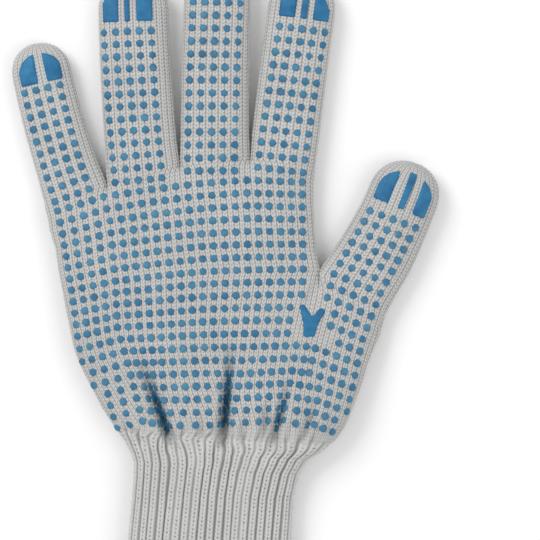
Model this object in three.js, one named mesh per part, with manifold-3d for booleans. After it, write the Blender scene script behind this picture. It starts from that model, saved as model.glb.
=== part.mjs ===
// A seamless knitted cotton work glove for the right hand, lying flat with its printed palm up.
// Millimetres, +Z up, fingers towards +Y, thumb towards +X. The underside rests on z = 0, and the
// origin is under the middle of the glove's box. Five hollow stalls and the hollow palm body are
// knitted zones that meet edge to edge, the ribbed cuff and its overlocked hem follow below the
// wrist, and thin printed pads lie on the fingertips and below the thumb crotch.
import * as THREE from 'three';
import { mergeVertices } from 'three/addons/utils/BufferGeometryUtils.js';
import Module from 'manifold-3d';

const wasm = await Module();
wasm.setup();

// Hand and palm
const PALM_WIDTH = 104;
const PALM_LENGTH = 112;
const PALM_THICKNESS = 16;
const WALL = 1.8;

// Cuff and hem
const CUFF_WIDTH = 65;
const CUFF_LENGTH = 60;
const CUFF_THICKNESS = 14;
const CUFF_WALL = 2.2;
const RIB_PITCH = 3.25;
const RIB_DEPTH = 0.8;
const WRIST_DROP = 7;
const HEM_LENGTH = 5;
const HEM_PROUD = 0.5;

// Stalls: length from the crotch line, width laid flat there and before the rounded tip,
// thickness, and lean towards the thumb in degrees at the crotch line and at the tip
const LITTLE = {
  name: 'little_finger',
  length: 62,
  width: 24.8,
  tipWidth: 23.4,
  thickness: 10.5,
  lean: -20,
  tipLean: -10,
};
const RING = {
  name: 'ring_finger',
  length: 80,
  width: 28.8,
  tipWidth: 27.8,
  thickness: 11.5,
  lean: -5.5,
  tipLean: -1,
};
const MIDDLE = {
  name: 'middle_finger',
  length: 86,
  width: 27.4,
  tipWidth: 26.2,
  thickness: 11.5,
  lean: -0.5,
  tipLean: 3,
};
const INDEX = {
  name: 'index_finger',
  length: 75,
  width: 26.8,
  tipWidth: 26.8,
  thickness: 11.5,
  lean: 6.5,
  tipLean: 8,
};
const THUMB = {
  name: 'thumb',
  length: 57,
  width: 30,
  tipWidth: 28.2,
  thickness: 12,
  lean: 28,
  tipLean: 20,
};

// How far a stall's root reaches into the palm body
const ROOT = 24;

// Prints
const PAD_THICKNESS = 0.8;
const PAD_MARGIN = 4.2;
const PATCH_WIDTH = 10.8;
const PATCH_HEIGHT = 13;

// Clearance between neighbouring pieces
const GAP = 0.3;

// Where the stalls leave the palm: across as a share of the palm width from the middle finger's
// axis, up as a share of the palm length from the wrist
const CROTCH = {
  littleOuter: { across: -0.658, up: 0.854 },
  littleRing: { across: -0.415, up: 0.911 },
  ringMiddle: { across: -0.135, up: 0.982 },
  middleIndex: { across: 0.135, up: 1.007 },
  indexOuter: { across: 0.385, up: 0.979 },
  thumb: { across: 0.402, up: 0.607 },
  thumbOuter: { across: 0.7, up: 0.44 },
};

// Sections of the hand: up as a share of the palm length from the wrist, left and right edge as
// shares of the palm width, thick as a share of the palm thickness
const HAND_ROWS = [
  { up: 0.0, left: -0.348, right: 0.463, thick: 0.98 },
  { up: 0.027, left: -0.371, right: 0.484, thick: 1.02 },
  { up: 0.054, left: -0.392, right: 0.502, thick: 1.05 },
  { up: 0.08, left: -0.411, right: 0.514, thick: 1.06 },
  { up: 0.107, left: -0.429, right: 0.526, thick: 1.06 },
  { up: 0.134, left: -0.446, right: 0.537, thick: 1.05 },
  { up: 0.161, left: -0.462, right: 0.548, thick: 1.03 },
  { up: 0.214, left: -0.492, right: 0.569, thick: 1.0 },
  { up: 0.268, left: -0.521, right: 0.585, thick: 0.97 },
  { up: 0.321, left: -0.542, right: 0.608, thick: 0.95 },
  { up: 0.393, left: -0.558, right: 0.642, thick: 0.93 },
  { up: 0.464, left: -0.573, right: 0.68, thick: 0.91 },
  { up: 0.536, left: -0.587, right: 0.56, thick: 0.9 },
  { up: 0.607, left: -0.602, right: 0.402, thick: 0.88 },
  { up: 0.679, left: -0.612, right: 0.387, thick: 0.86 },
  { up: 0.75, left: -0.635, right: 0.381, thick: 0.83 },
  { up: 0.854, left: -0.658, right: 0.377, thick: 0.77 },
  { up: 0.93, left: -0.663, right: 0.38, thick: 0.7 },
  { up: 1.04, left: -0.66, right: 0.386, thick: 0.64 },
];

// Sections of the cuff: up as a share of the cuff length from the hem, left and right edge as
// shares of the cuff width, thick as a share of the cuff thickness
const CUFF_ROWS = [
  { up: 0.0, left: -0.548, right: 0.462, thick: 0.97 },
  { up: 0.33, left: -0.535, right: 0.466, thick: 0.98 },
  { up: 0.6, left: -0.511, right: 0.48, thick: 1.0 },
  { up: 0.76, left: -0.5, right: 0.514, thick: 1.03 },
  { up: 0.853, left: -0.498, right: 0.566, thick: 1.06 },
  { up: 0.92, left: -0.517, right: 0.658, thick: 1.09 },
];

// Gathers above the wrist: from the upper to the lower end, across and up as for the crotches,
// depth as a share of the palm thickness and half width as a share of the palm width
const GATHERS = [
  { top: { across: -0.277, up: 0.2 }, foot: { across: -0.166, up: -0.03 }, depth: 0.26, half: 0.026 },
  { top: { across: 0.062, up: 0.33 }, foot: { across: 0.035, up: -0.01 }, depth: 0.32, half: 0.022 },
  { top: { across: 0.29, up: 0.17 }, foot: { across: 0.204, up: -0.06 }, depth: 0.25, half: 0.034 },
];

// Printed pads: how far they reach from the tip as a share of the stall's width, then a row for
// each pad with its finger and its edges across as shares of the half width
const PAD_REACH = 0.65;
const PADS = [
  { finger: LITTLE, from: -0.75, to: -0.13 },
  { finger: LITTLE, from: 0.15, to: 0.7 },
  { finger: RING, from: -0.87, to: -0.41 },
  { finger: RING, from: -0.24, to: -0.09 },
  { finger: RING, from: 0.1, to: 0.57 },
  { finger: MIDDLE, from: -0.74, to: -0.27 },
  { finger: MIDDLE, from: -0.09, to: 0.08 },
  { finger: MIDDLE, from: 0.25, to: 0.72 },
  { finger: INDEX, from: -0.66, to: -0.17 },
  { finger: INDEX, from: 0.0, to: 0.18 },
  { finger: INDEX, from: 0.36, to: 0.84 },
  { finger: THUMB, from: -0.8, to: -0.33 },
  { finger: THUMB, from: -0.04, to: 0.11 },
  { finger: THUMB, from: 0.38, to: 0.77 },
];

// Printed patch: its foot as for the crotches, its outline as shares of its width and height
const PATCH_FOOT = { across: 0.322, up: 0.369 };
const PATCH_OUTLINE = [
  { across: 0.17, up: 0.0 },
  { across: 0.58, up: 0.0 },
  { across: 0.7, up: 0.37 },
  { across: 1.0, up: 0.82 },
  { across: 0.8, up: 0.9 },
  { across: 0.49, up: 0.62 },
  { across: 0.21, up: 1.0 },
  { across: 0.0, up: 0.98 },
  { across: 0.15, up: 0.45 },
];

// Form of every cross-section: height of the side edge as a share of the thickness, roundness
// of the crown and of the underside, and how far the underside is pressed flat
const EDGE_SHARE = 0.45;
const STALL_CROWN = 2.2;
const PALM_CROWN = 2.6;
const UNDERSIDE = 2.4;
const FLATTENING = 1.2;

const FACETS = {
  hand: { top: 34, under: 12 },
  handInside: { top: 24, under: 8 },
  cuffInside: { top: 20, under: 12 },
  stall: { top: 11, under: 7 },
  stallInside: { top: 9, under: 5 },
};
const DENSE = 240;

// Form of a stall's rounded tip: the angles of its sections, and how its width and height fall
const TIP_ANGLES = [22, 42, 58, 71, 82];
const TIP_WIDTH_FALL = 0.9;
const TIP_HEIGHT_FALL = 0.75;

// How early a gather reaches its full depth on its way down to the wrist
const GATHER_SWELL = 0.75;

// Form of the pads' upper edge: its facets, and its width against the fingertip's curve
const PAD_STEPS = 4;
const PAD_SPREAD = 1.15;
const PAD_LEAST_RISE = 0.02;

const mix = (a, b, t) => a + (b - a) * t;
const radians = THREE.MathUtils.degToRad;
const place = ({ across, up }) => [across * PALM_WIDTH, CUFF_LENGTH + up * PALM_LENGTH];

// A solid and its geometry

function solidOf(geometry) {
  geometry.deleteAttribute('normal');
  geometry.deleteAttribute('uv');
  const merged = mergeVertices(geometry, 1e-4);
  const vertProperties = new Float32Array(merged.attributes.position.array);
  const triVerts = new Uint32Array(merged.index.array);
  return new wasm.Manifold(new wasm.Mesh({ numProp: 3, vertProperties, triVerts }));
}

function geometryOf(solid) {
  const mesh = solid.getMesh();
  const geometry = new THREE.BufferGeometry();
  geometry.setAttribute('position', new THREE.BufferAttribute(mesh.vertProperties, 3));
  geometry.setIndex(new THREE.BufferAttribute(mesh.triVerts, 1));
  geometry.computeVertexNormals();
  return geometry;
}

// Closes a row of rings with as many points each into a solid, with a flat cap at both ends
function loft(rings) {
  const count = rings[0].length;
  const positions = [];
  for (const ring of rings) {
    for (const point of ring) positions.push(...point);
  }
  const index = [];
  for (let row = 0; row + 1 < rings.length; row++) {
    for (let i = 0; i < count; i++) {
      const a = row * count + i;
      const b = row * count + ((i + 1) % count);
      index.push(a, a + count, b, b, a + count, b + count);
    }
  }
  for (const [row, turn] of [[0, false], [rings.length - 1, true]]) {
    const centre = positions.length / 3;
    const ring = rings[row];
    for (let k = 0; k < 3; k++) positions.push(ring.reduce((sum, p) => sum + p[k], 0) / count);
    for (let i = 0; i < count; i++) {
      const a = row * count + i;
      const b = row * count + ((i + 1) % count);
      if (turn) index.push(centre, b, a);
      else index.push(centre, a, b);
    }
  }
  const geometry = new THREE.BufferGeometry();
  geometry.setAttribute('position', new THREE.Float32BufferAttribute(positions, 3));
  geometry.setIndex(index);
  return solidOf(geometry);
}

// An upright prism over a closed outline in x and y
function prism(outline, from, to) {
  const shape = new THREE.Shape(outline.map(([x, y]) => new THREE.Vector2(x, y)));
  const geometry = new THREE.ExtrudeGeometry(shape, { depth: to - from, bevelEnabled: false });
  geometry.translate(0, 0, from);
  return solidOf(geometry);
}

// Cross-sections

// Spreads points evenly along an open path
function evenly(path, count) {
  const length = [0];
  for (let i = 1; i < path.length; i++) {
    length.push(length[i - 1] + Math.hypot(path[i][0] - path[i - 1][0], path[i][1] - path[i - 1][1]));
  }
  const points = [];
  let i = 1;
  for (let k = 0; k < count; k++) {
    const wanted = (length[length.length - 1] * k) / count;
    while (length[i] < wanted) i++;
    const t = (wanted - length[i - 1]) / (length[i] - length[i - 1]);
    points.push([mix(path[i - 1][0], path[i][0], t), mix(path[i - 1][1], path[i][1], t)]);
  }
  return points;
}

// The upper and the lower half of a section that is grown by a number of millimetres all round,
// as paths of across and height. The section stays on the ground, or that far above it inside.
function halves({ half, thickness, crown, grow, dent = () => 0 }) {
  const edge = thickness * EDGE_SHARE;
  const floor = Math.max(0, -grow);
  const top = [];
  const under = [];
  for (let i = 0; i <= DENSE; i++) {
    const angle = (Math.PI * i) / DENSE;
    const across = Math.sign(Math.cos(angle)) * Math.abs(Math.cos(angle)) ** (2 / crown);
    const rise = Math.sin(angle) ** (2 / crown);
    const u = across * (half + grow);
    top.push([u, edge + (thickness - edge + grow) * rise - dent(u) * rise]);
    const lowAcross = -Math.sign(Math.cos(angle)) * Math.abs(Math.cos(angle)) ** (2 / UNDERSIDE);
    const drop = FLATTENING * Math.sin(angle) ** (2 / UNDERSIDE);
    under.push([lowAcross * (half + grow), Math.max(floor, edge - (edge + grow) * drop)]);
  }
  return { top, under };
}

function section(form, facets) {
  const { top, under } = halves(form);
  return [...evenly(top, facets.top), ...evenly(under, facets.under)];
}

// The knitted palm and cuff

function gatherDepth(x, y) {
  let depth = 0;
  for (const gather of GATHERS) {
    const [topX, topY] = place(gather.top);
    const [footX, footY] = place(gather.foot);
    const t = (y - topY) / (footY - topY);
    if (t <= 0 || t >= 1) continue;
    const off = (x - mix(topX, footX, t)) / (gather.half * PALM_WIDTH);
    const swell = Math.sin(Math.PI * t ** GATHER_SWELL);
    depth += gather.depth * PALM_THICKNESS * swell * Math.exp(-off * off);
  }
  return depth;
}

const bodyRows = [
  ...CUFF_ROWS.map((row) => ({
    y: row.up * CUFF_LENGTH,
    left: row.left * CUFF_WIDTH,
    right: row.right * CUFF_WIDTH,
    thickness: row.thick * CUFF_THICKNESS,
  })),
  ...HAND_ROWS.map((row) => ({
    y: CUFF_LENGTH + row.up * PALM_LENGTH,
    left: row.left * PALM_WIDTH,
    right: row.right * PALM_WIDTH,
    thickness: row.thick * PALM_THICKNESS,
  })),
];

function bodySolid(rows, grow, facets) {
  const rings = rows.map((row) => {
    const middle = (row.left + row.right) / 2;
    const half = (row.right - row.left) / 2;
    const dent = (u) => gatherDepth(middle + u, row.y);
    const form = { half, thickness: row.thickness, crown: PALM_CROWN, grow, dent };
    return section(form, facets).map(([u, z]) => [middle + u, row.y, z]);
  });
  return loft(rings);
}

// The cuff's outside, with a ridge and a groove for each rib
function ribbedSolid(rows) {
  const ribs = 2 * Math.round((CUFF_WIDTH + CUFF_THICKNESS / 2) / RIB_PITCH);
  const rings = rows.map((row) => {
    const middle = (row.left + row.right) / 2;
    const half = (row.right - row.left) / 2;
    const form = { half, thickness: row.thickness, crown: PALM_CROWN, grow: 0 };
    const { top, under } = halves(form);
    const ring = evenly([...top, ...under.slice(1)], 2 * ribs);
    return ring.map(([u, z], i) => {
      const before = ring[(i + ring.length - 1) % ring.length];
      const after = ring[(i + 1) % ring.length];
      const tangent = [after[0] - before[0], after[1] - before[1]];
      const sink = (i % 2) * (RIB_DEPTH / Math.hypot(...tangent));
      return [middle + u - tangent[1] * sink, row.y, z + tangent[0] * sink];
    });
  });
  return loft(rings);
}

// The stalls

// The centre line of a stall, from a share before its crotch line (negative) to its tip
function centreLine(finger, along) {
  const steps = 24;
  let [x, y] = finger.base;
  for (let i = 0; i < steps; i++) {
    const share = ((i + 0.5) / steps) * (along / finger.length);
    const lean = radians(mix(finger.lean, finger.tipLean, Math.max(0, share)));
    x += (along / steps) * Math.sin(lean);
    y += (along / steps) * Math.cos(lean);
  }
  const lean = radians(mix(finger.lean, finger.tipLean, Math.max(0, along / finger.length)));
  return { x, y, lean };
}

const onStall = (finger, along, u, z) => {
  const { x, y, lean } = centreLine(finger, along);
  return [x + u * Math.cos(lean), y - u * Math.sin(lean), z];
};

// A stall reaches into the palm body by its root, so that the two join
function stallSolid(finger, grow, facets) {
  const round = finger.tipWidth / 2;
  const straight = finger.length - round;
  const rows = [-ROOT, -ROOT / 2, 0, 0.35 * straight, 0.7 * straight, straight].map((along) => ({
    along,
    scale: 1,
  }));
  for (const angle of TIP_ANGLES) {
    rows.push({
      along: straight + (round + grow) * Math.sin(radians(angle)),
      scale: Math.cos(radians(angle)) ** TIP_WIDTH_FALL,
    });
  }
  const edge = finger.thickness * EDGE_SHARE;
  const rings = rows.map(({ along, scale }) => {
    const taper = Math.min(1, Math.max(0, along / straight));
    const half = mix(finger.width, finger.tipWidth, taper) / 2;
    const form = { half, thickness: finger.thickness, crown: STALL_CROWN, grow };
    return section(form, facets).map(([u, z]) =>
      onStall(finger, along, u * scale, edge + (z - edge) * scale ** TIP_HEIGHT_FALL),
    );
  });
  return loft(rings);
}

const halfway = (a, b) => {
  const [first, second] = [place(a), place(b)];
  return [(first[0] + second[0]) / 2, (first[1] + second[1]) / 2];
};
const FINGERS = [
  { ...LITTLE, from: CROTCH.littleOuter, to: CROTCH.littleRing },
  { ...RING, from: CROTCH.littleRing, to: CROTCH.ringMiddle },
  { ...MIDDLE, from: CROTCH.ringMiddle, to: CROTCH.middleIndex },
  { ...INDEX, from: CROTCH.middleIndex, to: CROTCH.indexOuter },
  { ...THUMB, from: CROTCH.thumb, to: CROTCH.thumbOuter },
].map((finger) => ({ ...finger, base: halfway(finger.from, finger.to) }));

// Zones: the palm body ends at the crotch lines, and each stall starts there

const FAR = 2 * PALM_LENGTH;
const HIGH = 4 * PALM_THICKNESS;

// The crotch line from the little finger's side round to the thumb's, lowered by an inset
function crotchLine(inset) {
  const line = [
    CROTCH.littleOuter,
    CROTCH.littleRing,
    CROTCH.ringMiddle,
    CROTCH.middleIndex,
    CROTCH.indexOuter,
  ].map(place);
  const thumbInner = place(CROTCH.thumb);
  const thumbOuter = place(CROTCH.thumbOuter);
  const right = line[line.length - 1];
  const beyond = ([x0, y0], [x1, y1]) => {
    const reach = FAR / Math.hypot(x1 - x0, y1 - y0);
    return [x1 + (x1 - x0) * reach, y1 + (y1 - y0) * reach];
  };
  return [
    beyond(line[1], line[0]),
    ...line,
    [(right[0] + thumbOuter[0]) / 2, right[1]],
    thumbInner,
    beyond(thumbInner, thumbOuter),
  ].map(([x, y]) => [x, y - inset]);
}

function palmRegion(inset) {
  const line = crotchLine(inset);
  const last = line[line.length - 1];
  return prism([[line[0][0], -FAR], ...line, [last[0], -FAR]].reverse(), -HIGH, HIGH);
}

// The half of the plane above a stall's own stretch of the crotch line
function stallRegion(finger) {
  const [fromX, fromY] = place(finger.from);
  const [toX, toY] = place(finger.to);
  const length = Math.hypot(toX - fromX, toY - fromY);
  const along = [(toX - fromX) / length, (toY - fromY) / length];
  const up = [-along[1], along[0]];
  const corner = (x, y, run, rise) => [x + along[0] * run + up[0] * rise, y + along[1] * run + up[1] * rise];
  return prism(
    [
      corner(fromX, fromY, -FAR, GAP / 2),
      corner(toX, toY, FAR, GAP / 2),
      corner(toX, toY, FAR, FAR),
      corner(fromX, fromY, -FAR, FAR),
    ],
    -HIGH,
    HIGH,
  );
}

// A stall's own zone, clear of the next stall towards the thumb
function stallZone(finger, i) {
  const zone = stallSolid(finger, 0, FACETS.stall)
    .subtract(stallSolid(finger, -WALL, FACETS.stallInside))
    .intersect(stallRegion(finger));
  const next = FINGERS[i + 1];
  return next ? zone.subtract(stallSolid(next, GAP, FACETS.stall)) : zone;
}

const union = (solids) => solids.reduce((all, solid) => all.add(solid));
const stalls = (grow, facets) => FINGERS.map((finger) => stallSolid(finger, grow, facets));

const outside = union([
  bodySolid(bodyRows, 0, FACETS.hand).intersect(palmRegion(0)),
  ...stalls(0, FACETS.stall),
]);
const inside = union([
  bodySolid(bodyRows, -WALL, FACETS.handInside).intersect(palmRegion(WALL)),
  ...stalls(-WALL, FACETS.stallInside),
]);
const shell = outside.subtract(inside);

// The wrist line, where the knit turns into the ribbed cuff, falls towards the thumb
const wristAt = (x) => CUFF_LENGTH - (WRIST_DROP * x) / PALM_WIDTH;
function bandRegion(fromY, toY) {
  const low = (x) => fromY ?? wristAt(x) + GAP / 2;
  const high = (x) => toY ?? wristAt(x) - GAP / 2;
  return prism([[-FAR, low(-FAR)], [FAR, low(FAR)], [FAR, high(FAR)], [-FAR, high(-FAR)]], -HIGH, HIGH);
}

function cuffSolid() {
  const rows = bodyRows.slice(0, CUFF_ROWS.length + 4);
  const hollow = bodySolid(rows, -CUFF_WALL, FACETS.cuffInside);
  return ribbedSolid(rows).subtract(hollow).intersect(bandRegion(HEM_LENGTH + GAP, null));
}

// The hem wraps the cuff's lower edge, with rounded ends
function hemSolid() {
  const rows = [
    { up: 0, proud: -0.4 },
    { up: 0.2, proud: 1 },
    { up: 0.8, proud: 1 },
    { up: 1, proud: 0 },
  ].map(({ up, proud }) => ({ ...bodyRows[0], y: up * HEM_LENGTH, proud: proud * HEM_PROUD }));
  const rings = (growOf) =>
    rows.map((row) => {
      const middle = (row.left + row.right) / 2;
      const half = (row.right - row.left) / 2;
      const form = { half, thickness: row.thickness, crown: PALM_CROWN, grow: growOf(row) };
      return section(form, FACETS.cuffInside).map(([u, z]) => [middle + u, row.y, z]);
    });
  const hollow = rings((row) => -CUFF_WALL - row.proud);
  const shifted = (ring, by) => ring.map(([x, y, z]) => [x, y + by, z]);
  const mouth = shifted(hollow[0], -HEM_LENGTH);
  const back = shifted(hollow[hollow.length - 1], HEM_LENGTH);
  return loft(rings((row) => row.proud)).subtract(loft([mouth, ...hollow, back]));
}

// Prints: thin pieces that follow the knit a small gap above it

const knitFace = (grow) =>
  union([
    bodySolid(bodyRows, grow, FACETS.hand).intersect(palmRegion(0)),
    ...stalls(grow, FACETS.stall),
  ]);
const printUnder = knitFace(GAP);
const printTop = knitFace(GAP + PAD_THICKNESS);

function printSolid(outline) {
  const above = PALM_THICKNESS * EDGE_SHARE;
  return prism(outline, above, HIGH).intersect(printTop).subtract(printUnder);
}

function padOutline({ finger: sizes, from, to }) {
  const finger = FINGERS.find(({ name }) => name === sizes.name);
  const half = finger.tipWidth / 2;
  const centre = finger.length - half;
  const radius = half - PAD_MARGIN;
  const foot = finger.length - PAD_REACH * finger.width;
  const outline = [onStall(finger, foot, from * half, 0), onStall(finger, foot, to * half, 0)];
  for (let i = PAD_STEPS; i >= 0; i--) {
    const u = mix(from, to, i / PAD_STEPS) * half;
    const rise = Math.sqrt(Math.max(PAD_LEAST_RISE, 1 - (u / (radius * PAD_SPREAD)) ** 2));
    outline.push(onStall(finger, centre + radius * rise, u, 0));
  }
  return outline.map(([x, y]) => [x, y]);
}

function patchOutline() {
  const [x, y] = place(PATCH_FOOT);
  return PATCH_OUTLINE.map(({ across, up }) => [x + across * PATCH_WIDTH, y + up * PATCH_HEIGHT]);
}

// Materials

const KNIT = new THREE.MeshStandardMaterial({ color: 0xd9d8d3, roughness: 0.95, metalness: 0 });
const THREAD = new THREE.MeshStandardMaterial({ color: 0x2c6ca8, roughness: 0.85, metalness: 0 });
const PRINT = new THREE.MeshStandardMaterial({ color: 0x2f7fb8, roughness: 0.5, metalness: 0 });

// Assembly

const glove = new THREE.Group();
const add = (name, solid, material) => {
  const mesh = new THREE.Mesh(geometryOf(solid), material);
  mesh.name = name;
  glove.add(mesh);
};

add('palm_body', shell.intersect(palmRegion(GAP / 2)).intersect(bandRegion(null, FAR)), KNIT);
FINGERS.forEach((finger, i) => add(finger.name, stallZone(finger, i), KNIT));
add('rib_cuff', cuffSolid(), KNIT);
add('overlock_hem', hemSolid(), THREAD);

const padCount = {};
for (const pad of PADS) {
  const stall = pad.finger.name.replace('_finger', '');
  padCount[stall] = (padCount[stall] ?? 0) + 1;
  add(`${stall}_pad_${padCount[stall]}`, printSolid(padOutline(pad)), PRINT);
}
add('thumb_crotch_patch', printSolid(patchOutline()), PRINT);

// The glove's box stands over the origin
const box = new THREE.Box3().setFromObject(glove);
glove.position.set(-(box.min.x + box.max.x) / 2, -(box.min.y + box.max.y) / 2, -box.min.z);

export default glove;
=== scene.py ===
# A knitted cotton work glove with a dotted grip palm, lying flat with its palm up.
# Sizes are in millimetres in the part's own layout, with the hem at y = 0, and turn into
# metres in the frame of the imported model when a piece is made.
import math

import bpy
import numpy as np
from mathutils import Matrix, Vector, geometry


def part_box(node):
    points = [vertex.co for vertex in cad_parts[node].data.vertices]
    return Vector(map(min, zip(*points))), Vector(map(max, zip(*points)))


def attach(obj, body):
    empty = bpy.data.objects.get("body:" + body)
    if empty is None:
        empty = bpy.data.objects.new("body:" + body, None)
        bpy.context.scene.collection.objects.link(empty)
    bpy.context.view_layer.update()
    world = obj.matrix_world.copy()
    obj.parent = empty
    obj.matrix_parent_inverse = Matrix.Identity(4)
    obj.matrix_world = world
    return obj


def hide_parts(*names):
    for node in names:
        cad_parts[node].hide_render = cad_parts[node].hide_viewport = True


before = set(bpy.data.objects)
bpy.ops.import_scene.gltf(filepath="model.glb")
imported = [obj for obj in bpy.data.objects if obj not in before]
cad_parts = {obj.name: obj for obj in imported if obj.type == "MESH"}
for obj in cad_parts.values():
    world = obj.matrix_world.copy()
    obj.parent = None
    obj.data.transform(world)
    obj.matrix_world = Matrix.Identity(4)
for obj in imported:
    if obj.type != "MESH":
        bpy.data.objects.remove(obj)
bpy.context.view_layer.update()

# Sizes that the part's source names too
PALM_WIDTH = 104
PALM_LENGTH = 112
PALM_THICKNESS = 16
CUFF_WIDTH = 65
CUFF_LENGTH = 60
CUFF_THICKNESS = 14
WRIST_DROP = 7
HEM_LENGTH = 5
HEM_PROUD = 0.5
EDGE_SHARE = 0.45
STALL_CROWN = 2.2
PALM_CROWN = 2.6
UNDERSIDE = 2.4
FLATTENING = 1.2

CROTCH = {
    "little_outer": (-0.658, 0.854),
    "little_ring": (-0.415, 0.911),
    "ring_middle": (-0.135, 0.982),
    "middle_index": (0.135, 1.007),
    "index_outer": (0.385, 0.979),
    "thumb": (0.402, 0.607),
    "thumb_outer": (0.7, 0.44),
}

# Each stall: crotch points, length, width at the root and at the tip, thickness, lean at both
STALLS = {
    "little_finger": ("little_outer", "little_ring", 62, 24.8, 23.4, 10.5, -20, -10),
    "ring_finger": ("little_ring", "ring_middle", 80, 28.8, 27.8, 11.5, -5.5, -1),
    "middle_finger": ("ring_middle", "middle_index", 86, 27.4, 26.2, 11.5, -0.5, 3),
    "index_finger": ("middle_index", "index_outer", 75, 26.8, 26.8, 11.5, 6.5, 8),
    "thumb": ("thumb", "thumb_outer", 57, 30, 28.2, 12, 28, 20),
}

# Sections: up, left, right and thickness as shares, of the palm and then of the cuff
HAND_ROWS = [
    (0.0, -0.348, 0.463, 0.98),
    (0.027, -0.371, 0.484, 1.02),
    (0.054, -0.392, 0.502, 1.05),
    (0.08, -0.411, 0.514, 1.06),
    (0.107, -0.429, 0.526, 1.06),
    (0.134, -0.446, 0.537, 1.05),
    (0.161, -0.462, 0.548, 1.03),
    (0.214, -0.492, 0.569, 1.0),
    (0.268, -0.521, 0.585, 0.97),
    (0.321, -0.542, 0.608, 0.95),
    (0.393, -0.558, 0.642, 0.93),
    (0.464, -0.573, 0.68, 0.91),
    (0.536, -0.587, 0.56, 0.9),
    (0.607, -0.602, 0.402, 0.88),
    (0.679, -0.612, 0.387, 0.86),
    (0.75, -0.635, 0.381, 0.83),
    (0.854, -0.658, 0.377, 0.77),
    (0.93, -0.663, 0.38, 0.7),
    (1.04, -0.66, 0.386, 0.64),
]
CUFF_ROWS = [
    (0.0, -0.548, 0.462, 0.97),
    (0.33, -0.535, 0.466, 0.98),
    (0.6, -0.511, 0.48, 1.0),
    (0.76, -0.5, 0.514, 1.03),
    (0.853, -0.498, 0.566, 1.06),
    (0.92, -0.517, 0.658, 1.09),
]

# Gathers above the wrist: upper and lower end, depth, half width and where they are deepest
GATHERS = [
    ((-0.3, 0.34), (-0.142, -0.07), 8.8, 2.4, 0.7),
    ((0.072, 0.4), (0.023, -0.07), 9.0, 2.4, 0.72),
    ((0.3, 0.26), (0.198, -0.09), 5.4, 2.3, 0.62),
    ((0.22, 0.2), (0.165, -0.07), 2.6, 1.8, 0.6),
    ((-0.05, 0.1), (-0.06, -0.06), 2.2, 1.8, 0.5),
    ((0.4, 0.16), (0.29, -0.09), 2.8, 2.0, 0.5),
    ((0.11, 0.1), (0.1, -0.06), 2.2, 1.6, 0.5),
    ((-0.36, 0.1), (-0.24, -0.07), 2.6, 1.7, 0.5),
]

# The knit: pitch of the courses, wales across the stalls and the palm above and below
COURSE = 1.5
STALL_WALES = {
    "little_finger": (12, 11),
    "ring_finger": (14, 13),
    "middle_finger": (13, 12),
    "index_finger": (12, 12),
    "thumb": (14, 13),
}
FOUR_TOP = 51
FOUR_UNDER = 48
THUMB_TOP = 14
THUMB_UNDER = 13
UPPER_COURSES = 26
LOWER_COURSES = 43
RELIEF = 0.42
SLANT = 0.7
COURSE_ROWS = 3
# Gap between the lowest stitches and the surface that the glove lies on
UNDER_GAP = 0.02

# Distances below the finger roots over which the palm takes on the sections of the fingers
TOP_BLEND = 26
UNDER_BLEND = 10
THUMB_BLEND = 24
CREASE_LENGTH = 8
CREASE_FILL = 0.45

# Distances up a stall over which its sides move from the crotches to its own width
STALL_REACH = 13
THUMB_REACH_OUTER = 20
THUMB_REACH_INNER = 36

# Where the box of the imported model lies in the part's own layout
hem_low = [value * 1000 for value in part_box("overlock_hem")[0]]
SHIFT = np.array([hem_low[0] - (-0.548 * CUFF_WIDTH - HEM_PROUD), hem_low[1], 0.0])


def metres(points):
    return (np.asarray(points, dtype=float) + SHIFT) / 1000


def place(name_or_pair):
    across, up = CROTCH[name_or_pair] if isinstance(name_or_pair, str) else name_or_pair
    return np.array([across * PALM_WIDTH, CUFF_LENGTH + up * PALM_LENGTH])


def smooth(value):
    value = np.clip(value, 0, 1)
    return value * value * (3 - 2 * value)


def mix(a, b, t):
    return a + (b - a) * t


rows = [(up * CUFF_LENGTH, left * CUFF_WIDTH, right * CUFF_WIDTH, thick * CUFF_THICKNESS)
        for up, left, right, thick in CUFF_ROWS]
rows += [(CUFF_LENGTH + up * PALM_LENGTH, left * PALM_WIDTH, right * PALM_WIDTH,
          thick * PALM_THICKNESS) for up, left, right, thick in HAND_ROWS]
ROWS = np.array(rows)


def edge_left(y):
    return np.interp(y, ROWS[:, 0], ROWS[:, 1])


def edge_right(y):
    return np.interp(y, ROWS[:, 0], ROWS[:, 2])


def thickness_at(y):
    return np.interp(y, ROWS[:, 0], ROWS[:, 3])


def crown(share, thickness, power):
    edge = thickness * EDGE_SHARE
    share = np.clip(np.abs(share), 0, 1)
    return edge + (thickness - edge) * (1 - share ** power) ** (1 / power)


def belly(share, thickness):
    edge = thickness * EDGE_SHARE
    share = np.clip(np.abs(share), 0, 1)
    return np.maximum(0, edge * (1 - FLATTENING * (1 - share ** UNDERSIDE) ** (1 / UNDERSIDE)))


# The crotch lines of the four fingers and of the thumb
FINGER_LINE = np.array([place(name) for name in
                        ("little_outer", "little_ring", "ring_middle", "middle_index", "index_outer")])
FOUR = ["little_finger", "ring_finger", "middle_finger", "index_finger"]


def stall_axis(name, along):
    first, second, length, _, _, _, lean, tip_lean = STALLS[name]
    x, y = (place(first) + place(second)) / 2
    steps = 24
    for i in range(steps):
        share = max(0, (i + 0.5) / steps * along / length)
        angle = math.radians(mix(lean, tip_lean, share))
        x += along / steps * math.sin(angle)
        y += along / steps * math.cos(angle)
    angle = math.radians(mix(lean, tip_lean, max(0, along / length)))
    return np.array([x, y]), angle


def on_stall(name, along, across):
    point, angle = stall_axis(name, along)
    return point + across * np.array([math.cos(angle), -math.sin(angle)])


THUMB_INNER = place("thumb")
THUMB_EDGE = on_stall("thumb", 0, STALLS["thumb"][3] / 2 - 1.4)


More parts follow.
